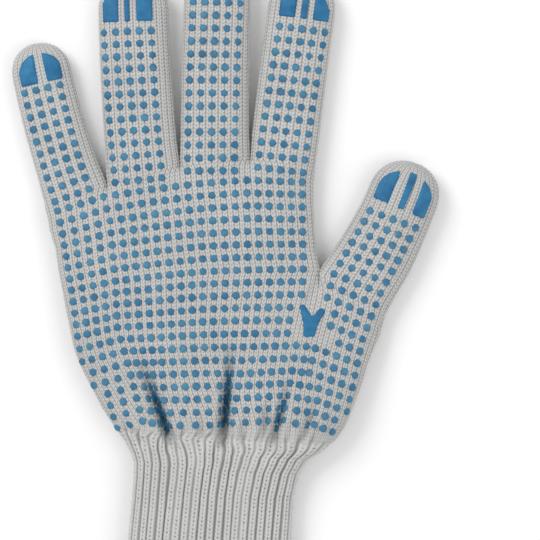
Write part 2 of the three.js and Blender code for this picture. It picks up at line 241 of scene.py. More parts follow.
def gather_depth(x, y):
    depth = np.zeros_like(x)
    for top, foot, deep, half, deepest in GATHERS:
        top_x, top_y = place(top)
        foot_x, foot_y = place(foot)
        t = np.clip((y - top_y) / (foot_y - top_y), 0, 1)
        off = np.abs(x - mix(top_x, foot_x, t)) / (half * mix(0.7, 1.1, t))
        along = smooth(t / deepest) * (1 - smooth((t - deepest) / (1 - deepest)))
        depth += deep * along * np.exp(-off ** 2.8)
    return depth


def ruffles(x, y):
    near = np.exp(-((y - CUFF_LENGTH - 4) / 9.0) ** 2)
    wave = np.sin(x * 0.74 + 1.1 * np.sin(y * 0.11)) + 0.6 * np.sin(x * 1.13 + 2.0)
    return 0.42 * near * wave


def slack(x, y):
    wave = np.sin(x * 0.09 + y * 0.05 + 0.6) * np.sin(y * 0.075 - x * 0.03 + 1.9)
    fine = np.sin(x * 0.31 + 1.3) * np.sin(y * 0.23 + 0.4)
    return 0.28 * wave + 0.08 * fine


def palm_heights(x, y):
    """Height of the upper and of the lower sheet of the palm and the cuff."""
    left = edge_left(y)
    right = edge_right(y)
    share = (x - (left + right) / 2) / ((right - left) / 2)
    thick = thickness_at(y)
    fade = (1 - np.clip(np.abs(share), 0, 1) ** 6)
    top = crown(share, thick, PALM_CROWN)
    top = top - (gather_depth(x, y) - ruffles(x, y) - slack(x, y)) * fade
    under = belly(share, thick)
    line_y = np.interp(x, FINGER_LINE[:, 0], FINGER_LINE[:, 1])
    below = line_y - y
    top_lobe = np.zeros_like(x)
    under_lobe = np.zeros_like(x)
    for k, name in enumerate(FOUR):
        start, end = FINGER_LINE[k, 0], FINGER_LINE[k + 1, 0]
        inside = (x >= start) & (x <= end) if k else x <= end
        if k == 3:
            inside = x >= start
        s = 2 * (x - start) / (end - start) - 1
        # The crease below a crotch soon fills up, but not at the two sides of the hand
        inward = (s > 0) if k == 0 else (s < 0) if k == 3 else np.full_like(inside, True)
        s = np.where(inward, s * (1 - CREASE_FILL * smooth(below / CREASE_LENGTH)), s)
        top_lobe = np.where(inside, crown(s, STALLS[name][5], STALL_CROWN), top_lobe)
        under_lobe = np.where(inside, belly(s, STALLS[name][5]), under_lobe)
    weight = smooth((np.clip(below, 0, TOP_BLEND) / TOP_BLEND) ** 0.7)
    top = np.where(below < TOP_BLEND, mix(top_lobe, top, weight), top)
    weight = smooth(np.clip(below, 0, UNDER_BLEND) / UNDER_BLEND)
    under = np.where(below < UNDER_BLEND, mix(under_lobe, under, weight), under)
    return top, under


def thumb_blend(x, y, top, under):
    """Pulls the sheets to the thumb's own section near the thumb's base line."""
    axis = THUMB_EDGE - THUMB_INNER
    length = np.hypot(*axis)
    unit = axis / length
    run = (x - THUMB_INNER[0]) * unit[0] + (y - THUMB_INNER[1]) * unit[1]
    below = -(-(x - THUMB_INNER[0]) * unit[1] + (y - THUMB_INNER[1]) * unit[0])
    s = 2 * run / length - 1
    near = smooth((run + 1.0) / 5.0)
    thick = STALLS["thumb"][5]
    top_weight = (1 - smooth((np.clip(below, 0, THUMB_BLEND) / THUMB_BLEND) ** 0.7)) * near
    under_weight = (1 - smooth(np.clip(below, 0, UNDER_BLEND) / UNDER_BLEND)) * near
    top = mix(top, crown(s, thick, STALL_CROWN), top_weight)
    under = mix(under, belly(s, thick), under_weight)
    # Beside the thumb crotch the sheets fall to the side of the palm
    left = edge_left(THUMB_INNER[1])
    share = (2 * x - left - THUMB_INNER[0]) / (THUMB_INNER[0] - left)
    thick = thickness_at(THUMB_INNER[1])
    close = (1 - smooth((THUMB_INNER[1] - y) / 8)) * (x <= THUMB_INNER[0])
    top = mix(top, np.minimum(top, crown(share, thick, PALM_CROWN)), close)
    under = mix(under, np.maximum(under, belly(share, thick)), close)
    return top, under


# Meshes from grids of points

def new_object(name, points, faces, relief_and_shade=None):
    mesh = bpy.data.meshes.new(name)
    mesh.from_pydata(metres(points).reshape(-1, 3).tolist(), [], faces)
    mesh.update()
    mesh.shade_smooth()
    if relief_and_shade is not None:
        # The relief values also go to the material as a mask for painted shade: where they are low, the
        # colour is darker
        layer = mesh.attributes.new("relief_and_shade", "FLOAT", "POINT")
        layer.data.foreach_set("value", np.asarray(relief_and_shade, dtype=np.float32).ravel())
    obj = bpy.data.objects.new(name, mesh)
    bpy.context.scene.collection.objects.link(obj)
    return obj


def grid_faces(count_rows, count_columns, start=0):
    """Faces of a grid of points whose last column joins the first."""
    j, i = np.meshgrid(np.arange(count_rows - 1), np.arange(count_columns), indexing="ij")
    a = j * count_columns + i
    b = j * count_columns + (i + 1) % count_columns
    quads = np.stack([a, b, b + count_columns, a + count_columns], axis=-1).reshape(-1, 4)
    return (quads + start).tolist()


def refined(marks, count=260):
    """Shares from 0 to 1 that lie closer and closer together near each mark."""
    near = 10.0 ** np.linspace(-6.5, -1.8, 46)
    values = [np.linspace(0, 1, count)]
    for mark in marks:
        values += [mark + near, mark - near, [mark]]
    return np.unique(np.clip(np.concatenate(values), 0, 1))


def arc(points):
    steps = np.hypot(np.hypot(np.diff(points[:, 0]), np.diff(points[:, 1])), np.diff(points[:, 2]))
    return np.concatenate([[0], np.cumsum(steps)])


def resample(points, length, wanted):
    return np.stack([np.interp(wanted, length, points[:, k]) for k in range(3)], axis=1)


def spread(points, shares):
    """Points of a line at shares of its length."""
    length = arc(points)
    return resample(points, length, shares * length[-1])


TOP_STEPS = np.array([0.0, 0.16, 0.34, 0.5, 0.66, 0.84])
TOP_RISE = np.array([0.0, 0.82, 1.0, 0.42, 1.0, 0.82])
UNDER_STEPS = np.array([0.0, 0.25, 0.5, 0.75])
UNDER_RISE = np.array([0.0, 1.0, 0.4, 1.0])
COURSE_RISE = np.array([0.3, 1.0, 0.86])


def wale_columns(count, top):
    steps = TOP_STEPS if top else UNDER_STEPS
    return (np.arange(count)[:, None] + steps[None, :]).ravel()


def wale_profiles(wales_top, wales_under):
    """The rise and the slant of each column of a ring."""
    rise = np.concatenate([np.tile(TOP_RISE, wales_top), np.tile(UNDER_RISE, wales_under)])
    slants = [np.tile(1 - np.abs(steps - 0.5) * 2, count)
              for steps, count in ((TOP_STEPS, wales_top), (UNDER_STEPS, wales_under))]
    return rise, np.concatenate(slants)


def drawn_down(base, shift):
    """A grid whose points move down their columns by a number of rows, and its normals."""
    count_rows, count_columns = base.shape[:2]
    wanted = np.clip(np.arange(count_rows)[:, None] + shift, 0, count_rows - 1)
    low = np.floor(wanted).astype(int)
    high = np.minimum(low + 1, count_rows - 1)
    share = (wanted - low)[..., None]
    columns = np.arange(count_columns)[None, :].repeat(count_rows, 0)
    points = base[low, columns] * (1 - share) + base[high, columns] * share
    across = np.roll(points, -1, axis=1) - np.roll(points, 1, axis=1)
    normal = np.cross(np.gradient(base, axis=0), across)
    normal /= np.maximum(np.linalg.norm(normal, axis=2, keepdims=True), 1e-9)
    return points, normal


def knit(base, wales, seed, taper, lead=0, tail=0, extra=0.0):
    """Lays stitches on a grid of points with three rows to a course.

    The middle of each wale is drawn down along its column, so that its two legs form a V, and
    the surface rises along each leg. The lead and tail rows belong to the neighbouring piece:
    they carry the stitches across the seam and are dropped at the end.
    """
    count_rows, count_columns = base.shape[:2]
    rise, slant = wale_profiles(*wales)
    points, normal = drawn_down(base, COURSE_ROWS * SLANT * slant[None, :] * taper[:, None])
    rng = np.random.default_rng(seed)
    blocks = count_columns // 4 + 1
    stitch = rng.uniform(0.8, 1.15, (count_rows // COURSE_ROWS + 1, blocks))
    row = np.arange(count_rows)
    uneven = stitch[row[:, None] // COURSE_ROWS, np.arange(count_columns)[None, :] // 5 % blocks]
    # The same pattern sets the stitch heights and, through the material, paints shade into the grooves
    # and holes between stitches
    relief_and_shade = rise[None, :] * COURSE_RISE[(row - lead) % COURSE_ROWS][:, None]
    height = RELIEF * relief_and_shade * uneven + extra
    points = points + normal * (height - 0.4 * RELIEF)[..., None]
    points[..., 2] = np.maximum(points[..., 2], UNDER_GAP)
    last = count_rows - tail
    return points[lead:last], relief_and_shade[lead:last]


# The stalls

AXES = {}
for stall in STALLS:
    steps = np.linspace(0, STALLS[stall][2], 240)
    lines = [stall_axis(stall, value) for value in steps]
    AXES[stall] = (steps, np.array([p[0] for p in lines]), np.array([p[1] for p in lines]))


def axis_at(name, along):
    steps, points, angles = AXES[name]
    point = np.array([np.interp(along, steps, points[:, 0]), np.interp(along, steps, points[:, 1])])
    return point, np.interp(along, steps, angles)


def stall_ends(name):
    first, second = STALLS[name][0], STALLS[name][1]
    return place(first), THUMB_EDGE if name == "thumb" else place(second)


def stall_frame(name, along, scale):
    """The two side points of a stall's section."""
    length, width, tip_width = STALLS[name][2:5]
    straight = length - tip_width / 2
    half = mix(width, tip_width, min(1, max(0, along / straight))) / 2
    point, angle = axis_at(name, along)
    direction = np.array([math.cos(angle), -math.sin(angle)])
    root, root_angle = axis_at(name, 0)
    root_direction = np.array([math.cos(root_angle), -math.sin(root_angle)])
    first, second = stall_ends(name)
    if name == "thumb":
        # The thumb's inner side runs nearly straight up from the crotch
        fade_left = max(0.0, 1 - along / THUMB_REACH_INNER) ** 1.3
        fade_right = 1 - smooth(along / THUMB_REACH_OUTER)
    else:
        fade_left = fade_right = 1 - smooth(along / STALL_REACH)
    to_first = (first - (root - width / 2 * root_direction)) * fade_left
    to_second = (second - (root + width / 2 * root_direction)) * fade_right
    left = point - half * scale * direction + to_first
    right = point + half * scale * direction + to_second
    return left, right


def stall_top(name, share, scale):
    thick = STALLS[name][5]
    edge = thick * EDGE_SHARE
    return edge + (crown(share, thick, STALL_CROWN) - edge) * scale ** 0.75


SHARE = 2 * refined([0, 1], 120) - 1


def stall_ring(name, along, scale):
    left, right = stall_frame(name, along, scale)
    thick = STALLS[name][5]
    edge = thick * EDGE_SHARE
    across = (SHARE[:, None] + 1) / 2
    flat = left[None, :] * (1 - across) + right[None, :] * across
    quiet = smooth(along / 15)
    wobble = slack(flat[:, 0] * 1.6, flat[:, 1] * 1.3) * quiet * (1 - np.abs(SHARE) ** 6) * scale
    top = np.column_stack([flat, stall_top(name, SHARE, scale) + wobble])
    low = edge + (belly(SHARE, thick) - edge) * scale ** 0.75
    under = np.column_stack([flat, low])[::-1]
    wales_top, wales_under = STALL_WALES[name]
    return np.concatenate([spread(top, wale_columns(wales_top, True) / wales_top),
                           spread(under, wale_columns(wales_under, False) / wales_under)])


def stall_rings(name):
    """The rows of a stall, from its tip down to its root."""
    length, _, tip_width = STALLS[name][2:5]
    half = tip_width / 2
    straight = length - half
    total = straight + half * math.radians(84)
    count = COURSE_ROWS * round(total / COURSE)
    rings = []
    for j in range(count + 1):
        run = total * (1 - j / count)
        angle = max(0.0, run - straight) / half
        rings.append(stall_ring(name, min(run, straight) + half * math.sin(angle),
                                math.cos(angle) ** 0.9))
    return np.array(rings)


def make_stall(name, seed, own, beyond):
    """One stall from its own rings and the first rows of the palm below its root."""
    base = np.concatenate([own, beyond])
    taper = np.clip(np.arange(len(base)) / 12, 0, 1)
    # Two rows go on under the palm's first rows, so that the seam stays closed
    sunk = np.zeros((len(base), 1))
    sunk[len(own):] = [[-0.2], [-0.4], [-0.5]]
    points, relief_and_shade = knit(base, STALL_WALES[name], seed, taper, tail=1, extra=sunk)
    count = points.shape[1]
    faces = grid_faces(len(points), count)
    centre = len(points) * count
    faces += [[centre, (i + 1) % count, i] for i in range(count)]
    # The point that closes the tip takes a middle value of the painted groove shade
    points = np.vstack([points.reshape(-1, 3), points[0].mean(axis=0)])
    return new_object(name + "_knit", points, faces, np.append(relief_and_shade.ravel(), 0.6))


# The palm: one knitted grid from the crotch line down to the wrist, with the thumb's wales
# joining it below the thumb crotch

ROW_LEFT = 119.2
WRIST_SPLIT = 34.5


def row_line(share):
    return THUMB_INNER[1] - (THUMB_INNER[1] - ROW_LEFT) * (1 - share) ** 2.7


def wrist_line(x):
    return CUFF_LENGTH - WRIST_DROP * x / PALM_WIDTH


def sheets(flat, with_thumb):
    top, under = palm_heights(flat[:, 0], flat[:, 1])
    if with_thumb:
        top, under = thumb_blend(flat[:, 0], flat[:, 1], top, under)
    return np.column_stack([flat, top]), np.column_stack([flat, under])


FOUR_MARKS = (FINGER_LINE[:, 0] - FINGER_LINE[0, 0]) / (FINGER_LINE[-1, 0] - FINGER_LINE[0, 0])
UPPER_SIGMA = refined(list(FOUR_MARKS))
LOWER_SIGMA = refined([0, 1])


def upper_flat(t, sigma):
    left_y = mix(FINGER_LINE[0, 1], ROW_LEFT, t)
    right_y = mix(FINGER_LINE[-1, 1], THUMB_INNER[1], t)
    left = mix(FINGER_LINE[0, 0], edge_left(left_y), min(1, t * 6))
    right = mix(FINGER_LINE[-1, 0], edge_right(right_y), min(1, t * 6))
    x = left + sigma * (right - left)
    crotch = np.interp(sigma, FOUR_MARKS, FINGER_LINE[:, 1])
    return np.column_stack([x, mix(crotch, row_line(sigma), t)])


def split_point(t):
    x = mix(THUMB_INNER[0], WRIST_SPLIT, smooth(t * 1.7))
    return np.array([x, mix(THUMB_INNER[1], wrist_line(x), t)])


def lower_flat(t):
    split = split_point(t)
    left_y = mix(ROW_LEFT, wrist_line(edge_left(wrist_line(-36))), t)
    left = edge_left(left_y)
    x = left + LOWER_SIGMA * (split[0] - left)
    first = np.column_stack([x, mix(row_line(LOWER_SIGMA), wrist_line(x), t)])
    first[-1] = split
    right_y = mix(THUMB_EDGE[1], wrist_line(edge_right(56.8)), t)
    straight = THUMB_EDGE[0] - 0.42 * (THUMB_EDGE[1] - right_y)
    right = mix(straight, edge_right(right_y), smooth(t * 5))
    x = split[0] + LOWER_SIGMA * (right - split[0])
    base = mix(THUMB_INNER[1], THUMB_EDGE[1], LOWER_SIGMA)
    second = np.column_stack([x, mix(base, wrist_line(x), t)])
    second[0] = split
    return first, second


def upper_ring(t):
    flat = upper_flat(t, UPPER_SIGMA)
    top, under = sheets(flat, False)
    ring = []
    for points, marks, total, is_top in (
            (top, np.array([0, 12, 26, 39, 51]), FOUR_TOP, True),
            (under, np.array([0, 11, 24, 36, 48]), FOUR_UNDER, False)):
        length = arc(points)
        at_marks = np.interp(FOUR_MARKS, UPPER_SIGMA, length)
        even = marks / total * length[-1]
        target = mix(at_marks, even, smooth(t / 0.4))
        columns = wale_columns(total, is_top)
        if not is_top:
            columns = total - columns
        ring.append(resample(points, length, np.interp(columns, marks, target)))
    return ring


def lower_ring(t):
    """The columns of one row, in the order top, thumb top, thumb under, under, each with its
    place round the half of the ring that it lies on."""
    first, second = lower_flat(t)
    flat = np.vstack([first, second[1:]])
    top, under = sheets(flat, True)
    ring = []
    for points, four, thumb, is_top in ((top, FOUR_TOP, THUMB_TOP, True),
                                        (under, FOUR_UNDER, THUMB_UNDER, False)):
        length = arc(points)
        at_split = length[len(first) - 1]
        even = length[-1] * four / (four + thumb)
        where = mix(at_split, mix(at_split, even, 0.35), smooth(t))
        palm_columns = wale_columns(four, is_top)
        thumb_columns = wale_columns(thumb, is_top)
        if is_top:
            wanted = [palm_columns / four * where,
                      where + thumb_columns / thumb * (length[-1] - where)]
        else:
            wanted = [where + (thumb - thumb_columns) / thumb * (length[-1] - where),
                      (four - palm_columns) / four * where]
        for values in wanted:
            share = values / length[-1] if is_top else 1 - values / length[-1]
            ring.append((resample(points, length, values), share))
    return ring


def rib_groove(place_round):
    """Height of the cuff's ribs at a place round the wrist, counted in ribs."""
    steps = np.append(RIB_STEPS, 1.0)
    return np.interp(place_round % 1.0, steps, np.append(RIB_RISE, RIB_RISE[0]))


def rib_shade(height):
    """The relief value that paints shade into the grooves between the ribs."""
    return np.clip(height + 1.05, 0, 1.35) / 1.35


PALM_SEED = 11
RIBS_TOP = 21
RIBS_UNDER = 20
RIB_DEPTH = 0.55
RIB_STEPS = np.array([0.0, 0.1, 0.22, 0.33, 0.43, 0.5, 0.57, 0.67, 0.78, 0.9])
RIB_RISE = np.array([-1.1, -0.6, 0.1, 0.3, 0.22, 0.0, 0.22, 0.3, 0.1, -0.6])
RIB_HOLE = np.array([0.0, 0.1, 0.0, 0.05, 0.55, 1.0, 0.55, 0.05, 0.0, 0.1])
RIB_SLANT = np.array([0.0, 0.1, 0.2, 0.4, 0.7, 0.9, 0.7, 0.4, 0.2, 0.1])


def make_hand():
    """The five stalls and the palm, which share the rows at their seams."""
    upper = [upper_ring(j / (COURSE_ROWS * UPPER_COURSES))
             for j in range(COURSE_ROWS * UPPER_COURSES)]
    lower = [lower_ring(j / (COURSE_ROWS * LOWER_COURSES))
             for j in range(COURSE_ROWS * LOWER_COURSES + 1)]
    # Parts of the lower rows: the four fingers' wales above, the thumb's above and below, the
    # four fingers' below
    parts = [np.array([ring[k][0] for ring in lower]) for k in range(4)]
    top_four = np.concatenate([np.array([ring[0] for ring in upper]), parts[0]])
    under_four = np.concatenate([np.array([ring[1] for ring in upper]), parts[3]])
    top_width, under_width = top_four.shape[1], under_four.shape[1]
    rings = {name: stall_rings(name) for name in STALLS}
    made = []
    top_before = []
    under_before = []
    top_start = 0
    under_start = under_width
    for seed, name in enumerate(STALLS, 1):
        wales_top, wales_under = STALL_WALES[name]
        if name == "thumb":
            beyond = [parts[1][1:4], parts[2][1:4]]
        else:
            top_end = top_start + wales_top * len(TOP_STEPS)
            under_end = under_start
            under_start -= wales_under * len(UNDER_STEPS)
            beyond = [top_four[1:4, top_start:top_end], under_four[1:4, under_start:under_end]]
            top_before.append(rings[name][-2, :top_end - top_start])
            under_before.insert(0, rings[name][-2, top_end - top_start:])
            top_start = top_end
        made.append((make_stall(name, seed, rings[name], np.concatenate(beyond, axis=1)), name))

    # The four fingers' wales from the crotch line down
    before = np.concatenate(top_before + under_before)[None]
    four = np.concatenate([before, np.concatenate([top_four, under_four], axis=1)])
    points, relief_and_shade = knit(four, (FOUR_TOP, FOUR_UNDER), PALM_SEED, np.ones(len(four)), lead=1)
    seam = len(upper)
    upper_palm = new_object("palm_knit_upper", points[:seam + 1],
                            grid_faces(seam + 1, points.shape[1]), relief_and_shade[:seam + 1])

    # All wales from the thumb crotch down, with the ribs that rise out of them
    before = np.concatenate([top_four[seam - 1], rings["thumb"][-2], under_four[seam - 1]])
    whole = np.concatenate([before[None], np.concatenate(parts, axis=1)])
    to_wrist = np.arange(len(whole))[::-1]
    rng = np.random.default_rng(19)
    starts = rng.uniform(9, 24, RIBS_TOP + RIBS_UNDER + 1)
    ends = rng.uniform(3, 8, RIBS_TOP + RIBS_UNDER + 1)
    place_round = np.array([np.concatenate([ring[k][1] * (RIBS_TOP if k < 2 else RIBS_UNDER)
                                            for k in range(4)]) for ring in [lower[0]] + lower])
    on_under = np.arange(whole.shape[1]) >= top_width + parts[1].shape[1]
    first_rib = on_under * RIBS_TOP
    groove = rib_groove(place_round)
    fade = smooth(1 - to_wrist[:, None] / starts[np.round(place_round).astype(int) + first_rib])
    ends = ends[np.floor(place_round).astype(int) + first_rib]
    extra = groove * fade * RIB_DEPTH - 0.75 * smooth(1 - to_wrist[:, None] / ends)
    taper = np.clip(0.5 + to_wrist / 24, 0, 1)
    lower_points, relief_and_shade = knit(whole, (FOUR_TOP + THUMB_TOP, FOUR_UNDER + THUMB_UNDER), PALM_SEED,
                                taper, lead=1, extra=extra)
    fade = fade[1:]
    # Near the wrist the painted groove shade is evened out towards a light middle value, and the rows
    # that lead into the ribs get painted shade in the ribs' grooves
    calm = 1 - 0.6 * smooth(1 - to_wrist[1:, None] / 20)
    relief_and_shade = mix(0.85, relief_and_shade, calm) * mix(1, rib_shade(groove[1:] * fade), fade)
    # The row at the thumb crotch is the same in both meshes
    lower_points[0, :top_width] = points[seam, :top_width]
    lower_points[0, -under_width:] = points[seam, top_width:]
    lower_palm = new_object("palm_knit_lower", lower_points,
                            grid_faces(len(lower_points), lower_points.shape[1]), relief_and_shade)
    return made, upper_palm, lower_palm


# The ribbed cuff: outside with ribs, then round the lower edge and up a plain inside

CUFF_COURSES = 37
CUFF_LEAD = 9
CUFF_BLEND = 30
CUFF_RELIEF = 0.85
CUFF_SLANT = 0.6
# The inside: share of the cuff's height and growth, from the lower edge up to the wrist
CUFF_INSIDE = [(-0.02, -0.6), (0.0, -1.6), (0.1, -2.0), (0.3, -2.0), (0.5, -2.0), (0.6, -2.0),
               (0.7, -2.0), (0.76, -2.2), (0.82, -2.4), (0.86, -2.6), (0.9, -2.8), (0.95, -3.0),
               (1.0, -3.2)]


def walls(share, thick, grow):
    """Upper and lower heights of a section that is grown by millimetres."""
    edge = thick * EDGE_SHARE
    inner = np.clip(1 - np.abs(share) ** PALM_CROWN, 0, 1) ** (1 / PALM_CROWN)
    lower = np.clip(1 - np.abs(share) ** UNDERSIDE, 0, 1) ** (1 / UNDERSIDE)
    top = edge + (thick - edge + grow) * inner
    return top, np.maximum(max(0.0, -grow), edge - (edge + grow) * FLATTENING * lower)


def cuff_section(low_t, grow):
    """The two sheets of the cuff at a share of its height, grown by millimetres."""
    bottom = HEM_LENGTH * 0.3
    left = edge_left(mix(bottom, wrist_line(-36.2), low_t))
    right = edge_right(mix(bottom, wrist_line(48.5), low_t))
    share = 2 * LOWER_SIGMA - 1
    x = (left + right) / 2 + share * ((right - left) / 2 + grow)
    y = mix(bottom, wrist_line(x), low_t)
    top, under = walls(share, thickness_at(y), grow)
    top -= (gather_depth(x, y) - ruffles(x, y) - slack(x, y)) * (1 - np.abs(share) ** 6)
    return np.column_stack([x, y, top]), np.column_stack([x, y, under])


def rib_ring(sheets_pair, columns_top, columns_under):
    top, under = sheets_pair
    return np.concatenate([spread(top, columns_top / RIBS_TOP),
                           spread(under[::-1], columns_under / RIBS_UNDER)])


def make_cuff():
    columns = [(np.arange(count)[:, None] + RIB_STEPS[None, :]).ravel()
               for count in (RIBS_TOP, RIBS_UNDER)]
    width = len(columns[0]) + len(columns[1])
    count = COURSE_ROWS * CUFF_COURSES + 1 + CUFF_LEAD
    ribs = RIBS_TOP + RIBS_UNDER
    rng = np.random.default_rng(31)
    phases = rng.uniform(0, 6.28, ribs)
    amounts = rng.uniform(0.02, 0.08, ribs)
    start_ring = rib_ring(cuff_section(1.0, 0.0), *columns)
    base = []
    for j in range(-CUFF_LEAD, count - CUFF_LEAD):
        run = max(j, 0) / (count - CUFF_LEAD - 1)
        sway = amounts * np.sin(phases + 5.0 * run * (1 + 0.3 * np.cos(phases))) * smooth(j / 20)
        sway = np.repeat(sway, len(RIB_STEPS))
        moved_top = np.clip(columns[0] + sway[:len(columns[0])], 0, RIBS_TOP)
        moved_under = np.clip(columns[1] + sway[len(columns[0]):], 0, RIBS_UNDER)
        ring = rib_ring(cuff_section(1.0 - run, 0.0), moved_top, moved_under)
        if j < CUFF_BLEND:
            first, second = lower_flat(1 + min(j, 0) / (COURSE_ROWS * LOWER_COURSES))
            wrist = rib_ring(sheets(np.vstack([first, second[1:]]), True), *columns)
            ring = ring + (wrist - start_ring) * (1 - smooth(j / CUFF_BLEND))
        base.append(ring)
    row = np.arange(count)
    straighten = np.clip(row[::-1] / 4, 0, 1)[:, None]
    points, normal = drawn_down(np.array(base), COURSE_ROWS * CUFF_SLANT
                                * np.tile(RIB_SLANT, ribs)[None, :] * straighten)
    deep = rng.uniform(0.7, 1.2, (CUFF_COURSES + 4, ribs))
    groove = np.repeat(rng.uniform(0.65, 1.25, ribs), len(RIB_STEPS))
    top_end = smooth((row - 3) / 16)[:, None]
    profile = np.tile(RIB_RISE, ribs)
    profile = np.where(profile < 0, profile * mix(1, groove, top_end), profile[None, :])
    uneven = deep[row[:, None] // COURSE_ROWS, np.arange(width)[None, :] // len(RIB_STEPS)]
    beat = np.tile([1.0, 0.15, 0.0], CUFF_COURSES + 4)[:count, None]
    height = profile * mix(RIB_DEPTH / CUFF_RELIEF, 1, top_end)
    height = height - np.tile(RIB_HOLE, ribs)[None, :] * beat * 0.95 * uneven
    on_leg = np.clip(profile, 0, 1) / 0.3
    height = height - 0.3 * beat * on_leg * uneven
    sink = -0.55 * (1 - smooth(row / 7))[:, None]
    points = points + normal * (CUFF_RELIEF * height + sink)[..., None]
    points[..., 2] = np.maximum(points[..., 2], UNDER_GAP)
    wall = np.array([rib_ring(cuff_section(low_t, grow), *columns) for low_t, grow in CUFF_INSIDE])
    whole = np.concatenate([points, wall])
    # Painted shade: rib_shade darkens the grooves between the ribs and the stitch holes; the plain
    # inside takes an even middle value of it
    relief_and_shade = np.concatenate([rib_shade(height), np.full(wall.shape[:2], 0.55)])
    return new_object("rib_cuff_knit", whole, grid_faces(len(whole), width), relief_and_shade)


# The overlocked hem: a band round the lower edge under slanting loops of thread

HEM_COLUMNS = 240
HEM_LOOPS = 74
LOOP_STEPS = 6
LOOP_SIDES = 6
# Height above the lower edge and growth: of the band, and of a loop that runs over the edge
# from the outside to the inside
HEM_BAND = [(HEM_LENGTH, -1.5), (HEM_LENGTH, 0.0), (4.0, 0.32), (2.6, 0.4), (1.2, 0.34),
            (0.3, 0.0), (0.12, -0.8), (0.3, -1.6), (1.2, -2.1), (3.0, -2.2), (HEM_LENGTH + 1, -2.2)]
LOOP_PATH = [(5.15, 0.1), (4.6, 0.55), (3.2, 0.72), (1.8, 0.72), (0.6, 0.5), (0.0, -0.2),
             (-0.1, -1.0), (0.3, -2.0), (1.4, -2.5), (3.2, -2.55)]
# Lean and thickness of the two loops at each place
LOOP_KINDS = [(2.6, 0.42), (-2.2, 0.36)]


def hem_ring(y, grow, count):
    """Points at even distances round the section of the hem."""
    left, right = edge_left(0), edge_right(0)
    share = 2 * LOWER_SIGMA - 1
    x = (left + right) / 2 + share * ((right - left) / 2 + grow)
    level = np.full_like(x, y)
    top, under = walls(share, thickness_at(0), grow)
    upper = np.column_stack([x, level, top + slack(x, level) * 0.5])
    lower = np.column_stack([x, level, under])[::-1]
    return spread(np.vstack([upper, lower[1:-1], upper[:1]]), np.arange(count) / count)


def circle(sides):
    """Angles, cosines and sines of the corners of a ring."""
    angle = np.arange(sides) / sides * 2 * math.pi
    return angle, np.cos(angle), np.sin(angle)


def make_hem():
    band = np.array([hem_ring(y, grow, HEM_COLUMNS) for y, grow in HEM_BAND])
    points = band.reshape(-1, 3)
    points[:, 2] = np.maximum(points[:, 2], 0.05)
    faces = grid_faces(len(HEM_BAND), HEM_COLUMNS)
    verts = [points]
    start = len(points)
    # The band under the loops gets a low value, so it takes mostly the painted shade colour; the loops
    # get the full colour
    relief_and_shade = [np.full(len(points), 0.25)]
    rows = [hem_ring(y, grow, HEM_LOOPS * LOOP_STEPS) for y, grow in LOOP_PATH]
    rng = np.random.default_rng(5)
    _, cosine, sine = circle(LOOP_SIDES)
    for loop in range(HEM_LOOPS):
        for lean, thick in LOOP_KINDS:
            offset = rng.uniform(-0.5, 0.5)
            line = []
            for k, row in enumerate(rows):
                at = loop * LOOP_STEPS + offset + lean * (k / (len(rows) - 1) * 2 - 1)
                low = int(math.floor(at)) % len(row)
                line.append(mix(row[low], row[(low + 1) % len(row)], at - math.floor(at)))
            line = np.array(line)
            line[:, 2] = np.maximum(line[:, 2], thick + 0.05)
            tangent = np.gradient(line, axis=0)
            tangent /= np.linalg.norm(tangent, axis=1, keepdims=True)
            side = np.cross(tangent, np.array([0.3, 0.5, 0.81]))
            side /= np.linalg.norm(side, axis=1, keepdims=True)
            other = np.cross(tangent, side)
            tube = (line[:, None, :] + thick * (cosine[None, :, None] * side[:, None, :]
                                                + sine[None, :, None] * other[:, None, :]))
            verts.append(tube.reshape(-1, 3))
            faces += grid_faces(len(line), LOOP_SIDES, start)
            relief_and_shade.append(np.full(len(line) * LOOP_SIDES, 1.0))
            start += len(line) * LOOP_SIDES
    points = np.vstack(verts)
    points[:, 2] = np.maximum(points[:, 2], UNDER_GAP)
    return new_object("overlock_hem_thread", points, faces, np.concatenate(relief_and_shade))


# Printed dots

def palm_surface(x, y):
    x = np.asarray(x, dtype=float)
    y = np.asarray(y, dtype=float)
    top, under = palm_heights(x, y)
    blended, _ = thumb_blend(x, y, top, under)
    return np.where(y < THUMB_INNER[1] + 2, blended, top)


def on_palm(flat):
    return np.column_stack([flat, palm_surface(flat[:, 0], flat[:, 1])])


def stall_surface(name, across, along):
    """Points of a stall's upper sheet from distances across and along its axis."""
    length, _, tip_width = STALLS[name][2:5]
    half_tip = tip_width / 2
    straight = length - half_tip
    found = []
    for u, run in zip(across, along):
        scale = math.sqrt(max(0.02, 1 - (max(0.0, run - straight) / half_tip) ** 2)) ** 0.9
        left, right = stall_frame(name, max(run, 0.0), scale)
        share = np.clip(u / (np.hypot(*(right - left)) / 2), -0.995, 0.995)
        point = mix(left, right, (share + 1) / 2)
        found.append([point[0], point[1], stall_top(name, np.array([share]), scale)[0]])
    return np.array(found)


# Dots on the stalls: first distance along, pitch along, number of rows, first distance across,
# pitch across, number of columns, drift across towards the tip
STALL_DOTS = {
    "little_finger": (-0.5, 4.88, 10, -8.8, 4.82, 4, 0.7),
    "ring_finger": (-2.0, 4.95, 13, -11.5, 4.7, 5, -0.3),
    "middle_finger": (-3.8, 5.17, 14, -10.9, 4.67, 5, 1.3),
    "index_finger": (-3.4, 5.17, 12, -9.6, 4.55, 5, 1.7),
}

